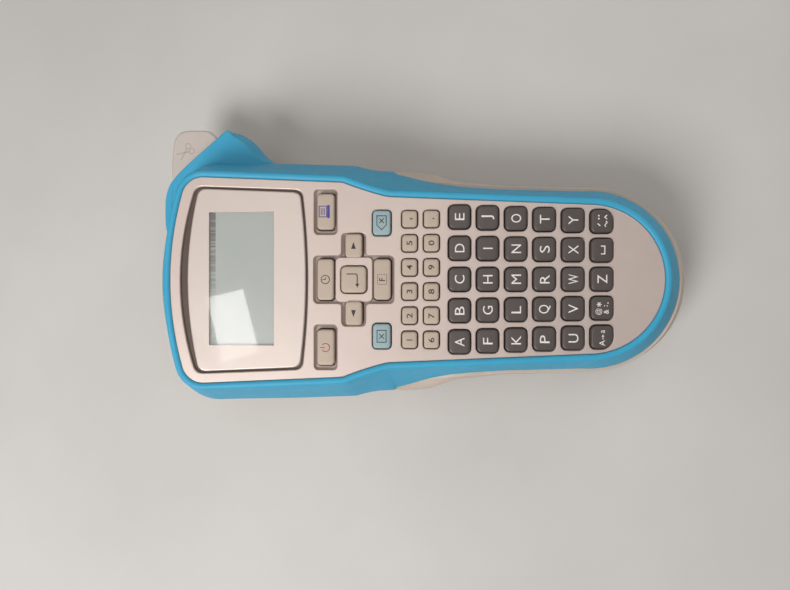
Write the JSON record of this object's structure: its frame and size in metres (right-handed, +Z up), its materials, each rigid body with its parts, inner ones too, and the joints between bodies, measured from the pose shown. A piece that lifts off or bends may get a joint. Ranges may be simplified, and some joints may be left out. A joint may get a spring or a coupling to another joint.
{
  "type": "label maker",
  "caption": "Handheld label maker with a bowed display head, small keyboard, round battery handle, corner cutter lever and rear tape cover.",
  "frame": {"origin": "on the table, under the middle of the keyboard's centre line, on the flat underside of the head", "axes": "+Z up from the table, +Y to the head with the display, +X to the side with the cutter lever"},
  "size_m": [0.1087, 0.2012, 0.0549],
  "materials": {
    "blue_shell": "satin",
    "beige_shell": "satin",
    "silver_panel": "satin metallic",
    "lens": "gloss",
    "display": "satin",
    "flex_film": "gloss",
    "key_rubber": "matte",
    "circuit_board": "satin",
    "component": "matte",
    "light_key": "satin",
    "dark_key": "satin",
    "blue_key": "satin",
    "cell_sleeve": "gloss",
    "spring_steel": "satin",
    "black_plastic": "matte",
    "sheet_steel": "satin",
    "motor_can": "satin",
    "brass": "satin",
    "gear_plastic": "satin",
    "ground_steel": "gloss",
    "roller_rubber": "matte",
    "grey_plastic": "matte",
    "label_film": "satin",
    "ink_ribbon": "gloss",
    "ceramic": "gloss",
    "sink_aluminium": "satin"
  },
  "bodies": {
    "case": {"upper_case": "blue_shell", "lower_case": "beige_shell", "front_panel": "silver_panel", "display_window": "lens", "lcd_module": "display", "lcd_cable": "flex_film", "keypad_mat": "key_rubber", "main_board": "circuit_board", "board_components": "component", "battery_tray": "black_plastic", "battery_cells": "cell_sleeve", "battery_contacts": "spring_steel", "battery_springs": "spring_steel", "adapter_socket": "black_plastic", "print_chassis": "sheet_steel", "drive_motor": "motor_can", "cassette_tray": "grey_plastic", "cassette_lid": "grey_plastic", "label_tape": "label_film", "print_head": "ceramic", "head_heat_sink": "sink_aluminium", "head_cable": "flex_film", "cutter_pin": "ground_steel", "cutter_anvil": "sheet_steel", "case_screws": "sheet_steel"},
    "cutter": {"cutter_lever": "beige_shell", "cutter_blade": "ground_steel", "cutter_spring": "spring_steel"},
    "back_cover": {"rear_cover": "beige_shell"},
    "platen": {"platen_gear": "gear_plastic", "platen_shaft": "ground_steel", "platen_roller": "roller_rubber"},
    "idler": {"idler_gear": "gear_plastic"},
    "reduction": {"reduction_gear": "gear_plastic"},
    "pinion": {"motor_pinion": "brass"},
    "ribbon_drive": {"ribbon_spindle": "gear_plastic", "ribbon_take_up_spool": "ink_ribbon"},
    "ribbon_supply": {"ribbon_supply_spool": "ink_ribbon"},
    "tape_supply": {"tape_roll": "label_film"},
    "power_key": {"power_key": "light_key"},
    "print_key": {"print_key": "light_key"},
    "clock_key": {"clock_key": "light_key"},
    "left_key": {"left_key": "light_key"},
    "right_key": {"right_key": "light_key"},
    "enter_key": {"enter_key": "light_key"},
    "function_key": {"function_key": "light_key"},
    "clear_key": {"clear_key": "blue_key"},
    "backspace_key": {"backspace_key": "blue_key"},
    "digit_keys_row_1": {"digit_keys_row_1": "light_key"},
    "digit_keys_row_2": {"digit_keys_row_2": "light_key"},
    "letter_keys_row_1": {"letter_keys_row_1": "dark_key"},
    "letter_keys_row_2": {"letter_keys_row_2": "dark_key"},
    "letter_keys_row_3": {"letter_keys_row_3": "dark_key"},
    "letter_keys_row_4": {"letter_keys_row_4": "dark_key"},
    "letter_keys_row_5": {"letter_keys_row_5": "dark_key"},
    "caps_key": {"caps_key": "dark_key"},
    "symbol_key": {"symbol_key": "dark_key"},
    "z_key": {"z_key": "dark_key"},
    "space_key": {"space_key": "dark_key"},
    "accent_key": {"accent_key": "dark_key"}
  },
  "joints": [
    {"name": "power_press", "type": "slide", "parent": "case", "child": "power_key", "axis": [0, 0.0872, -0.9962], "range_m": [0, 0.0008], "stiffness_N_per_m": 600},
    {"name": "print_press", "type": "slide", "parent": "case", "child": "print_key", "axis": [0, 0.0872, -0.9962], "range_m": [0, 0.0008], "stiffness_N_per_m": 600},
    {"name": "clock_press", "type": "slide", "parent": "case", "child": "clock_key", "axis": [0, 0.0872, -0.9962], "range_m": [0, 0.0008], "stiffness_N_per_m": 600},
    {"name": "left_press", "type": "slide", "parent": "case", "child": "left_key", "axis": [0, 0.0872, -0.9962], "range_m": [0, 0.0008], "stiffness_N_per_m": 600},
    {"name": "right_press", "type": "slide", "parent": "case", "child": "right_key", "axis": [0, 0.0872, -0.9962], "range_m": [0, 0.0008], "stiffness_N_per_m": 600},
    {"name": "enter_press", "type": "slide", "parent": "case", "child": "enter_key", "axis": [0, 0.0872, -0.9962], "range_m": [0, 0.0008], "stiffness_N_per_m": 600},
    {"name": "function_press", "type": "slide", "parent": "case", "child": "function_key", "axis": [0, 0.0872, -0.9962], "range_m": [0, 0.0008], "stiffness_N_per_m": 600},
    {"name": "clear_press", "type": "slide", "parent": "case", "child": "clear_key", "axis": [0, 0.0872, -0.9962], "range_m": [0, 0.0008], "stiffness_N_per_m": 600},
    {"name": "backspace_press", "type": "slide", "parent": "case", "child": "backspace_key", "axis": [0, 0.0872, -0.9962], "range_m": [0, 0.0008], "stiffness_N_per_m": 600},
    {"name": "digit_press_row_1", "type": "slide", "parent": "case", "child": "digit_keys_row_1", "axis": [0, 0.0872, -0.9962], "range_m": [0, 0.0008], "stiffness_N_per_m": 600},
    {"name": "digit_press_row_2", "type": "slide", "parent": "case", "child": "digit_keys_row_2", "axis": [0, 0.0872, -0.9962], "range_m": [0, 0.0008], "stiffness_N_per_m": 600},
    {"name": "letter_press_row_1", "type": "slide", "parent": "case", "child": "letter_keys_row_1", "axis": [0, 0.0872, -0.9962], "range_m": [0, 0.0008], "stiffness_N_per_m": 600},
    {"name": "letter_press_row_2", "type": "slide", "parent": "case", "child": "letter_keys_row_2", "axis": [0, 0.0872, -0.9962], "range_m": [0, 0.0008], "stiffness_N_per_m": 600},
    {"name": "letter_press_row_3", "type": "slide", "parent": "case", "child": "letter_keys_row_3", "axis": [0, 0.0872, -0.9962], "range_m": [0, 0.0008], "stiffness_N_per_m": 600},
    {"name": "letter_press_row_4", "type": "slide", "parent": "case", "child": "letter_keys_row_4", "axis": [0, 0.0872, -0.9962], "range_m": [0, 0.0008], "stiffness_N_per_m": 600},
    {"name": "letter_press_row_5", "type": "slide", "parent": "case", "child": "letter_keys_row_5", "axis": [0, 0.0872, -0.9962], "range_m": [0, 0.0008], "stiffness_N_per_m": 600},
    {"name": "caps_press", "type": "slide", "parent": "case", "child": "caps_key", "axis": [0, 0.0872, -0.9962], "range_m": [0, 0.0008], "stiffness_N_per_m": 600},
    {"name": "symbol_press", "type": "slide", "parent": "case", "child": "symbol_key", "axis": [0, 0.0872, -0.9962], "range_m": [0, 0.0008], "stiffness_N_per_m": 600},
    {"name": "z_press", "type": "slide", "parent": "case", "child": "z_key", "axis": [0, 0.0872, -0.9962], "range_m": [0, 0.0008], "stiffness_N_per_m": 600},
    {"name": "space_press", "type": "slide", "parent": "case", "child": "space_key", "axis": [0, 0.0872, -0.9962], "range_m": [0, 0.0008], "stiffness_N_per_m": 600},
    {"name": "accent_press", "type": "slide", "parent": "case", "child": "accent_key", "axis": [0, 0.0872, -0.9962], "range_m": [0, 0.0008], "stiffness_N_per_m": 600},
    {"name": "cutter_swing", "type": "hinge", "parent": "case", "child": "cutter", "pos_m": [0.0425, 0.07455, 0.02145], "axis": [0, -0.0872, 0.9962], "range_deg": [0, 14], "stiffness_Nm_per_rad": 0.3},
    {"name": "cover_lift_off", "type": "slide", "parent": "case", "child": "back_cover", "axis": [0, 0.0872, -0.9962], "range_m": [0, 0.06]},
    {"name": "platen_spin", "type": "hinge", "parent": "case", "child": "platen", "pos_m": [0.02885, 0.07133, 0.03523], "axis": [0, -0.0872, 0.9962], "continuous": true},
    {"name": "idler_spin", "type": "hinge", "parent": "case", "child": "idler", "pos_m": [0.02091, 0.05693, 0.03397], "axis": [0, -0.0872, 0.9962], "continuous": true},
    {"name": "reduction_spin", "type": "hinge", "parent": "case", "child": "reduction", "pos_m": [0.03063, 0.05022, 0.02996], "axis": [0, -0.0872, 0.9962], "continuous": true},
    {"name": "pinion_spin", "type": "hinge", "parent": "case", "child": "pinion", "pos_m": [0.034, 0.03771, 0.02887], "axis": [0, -0.0872, 0.9962], "continuous": true},
    {"name": "ribbon_spin", "type": "hinge", "parent": "case", "child": "ribbon_drive", "pos_m": [0.00497, 0.06118, 0.03434], "axis": [0, -0.0872, 0.9962], "continuous": true},
    {"name": "ribbon_supply_spin", "type": "hinge", "parent": "case", "child": "ribbon_supply", "pos_m": [-0.02, 0.06634, 0.00969], "axis": [0, -0.0872, 0.9962], "continuous": true},
    {"name": "tape_roll_spin", "type": "hinge", "parent": "case", "child": "tape_supply", "pos_m": [-0.011, 0.03063, 0.00657], "axis": [0, -0.0872, 0.9962], "continuous": true}
  ],
  "couplings": [
    {"joint": "idler_spin", "follows": "platen_spin", "ratio": -0.83333},
    {"joint": "reduction_spin", "follows": "platen_spin", "ratio": 2.5},
    {"joint": "pinion_spin", "follows": "platen_spin", "ratio": -8.3333},
    {"joint": "ribbon_spin", "follows": "platen_spin", "ratio": 1}
  ]
}
